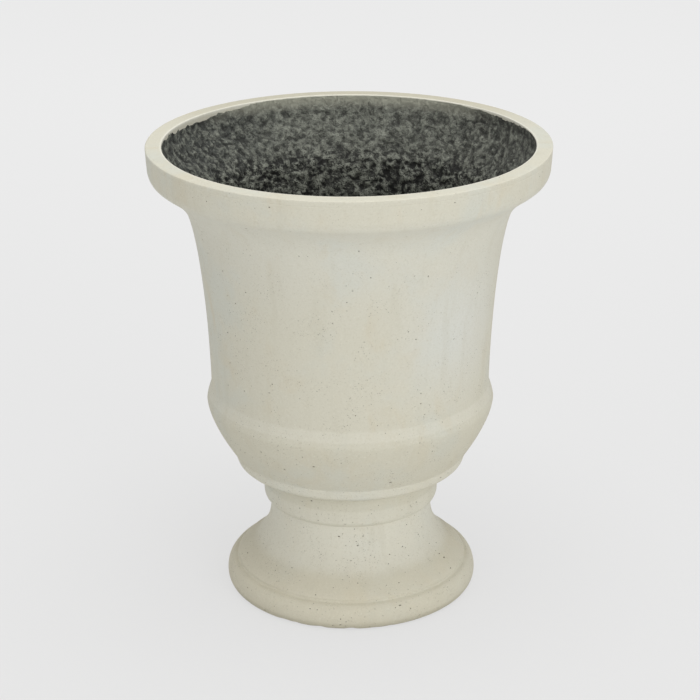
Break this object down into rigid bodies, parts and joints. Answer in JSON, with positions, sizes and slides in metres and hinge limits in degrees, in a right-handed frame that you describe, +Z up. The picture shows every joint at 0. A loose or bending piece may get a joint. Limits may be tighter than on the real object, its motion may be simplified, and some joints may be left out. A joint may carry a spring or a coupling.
{
  "type": "urn planter",
  "caption": "Free-standing garden urn: a flared bowl with a broad rolled rim on a round turned pedestal, in cast fibre stone, with a plugged drain.",
  "frame": {"origin": "centre of the foot, on the ground", "axes": "+Z up along the axis of revolution; +Y points away from the picture's camera, +X to its right"},
  "size_m": [0.4226, 0.4226, 0.5],
  "materials": {
    "cast_stone": "matte cast cement with small air voids",
    "fibre_laminate": "rough chopped-strand laminate, semi-matte",
    "mortar": "matte, sandy",
    "sleeve_plastic": "moulded, matte",
    "plug_rubber": "moulded rubber, matte"
  },
  "bodies": {
    "planter": {"bowl_shell": "cast_stone", "bowl_liner": "fibre_laminate", "pedestal_shell": "cast_stone", "pedestal_liner": "fibre_laminate", "joint_mortar": "mortar", "drain_sleeve": "sleeve_plastic"},
    "plug": {"drain_plug": "plug_rubber"}
  },
  "joints": [
    {"name": "plug_lift", "type": "slide", "parent": "planter", "child": "plug", "axis": [0, 0, 1], "range_m": [0, 0.04]}
  ]
}
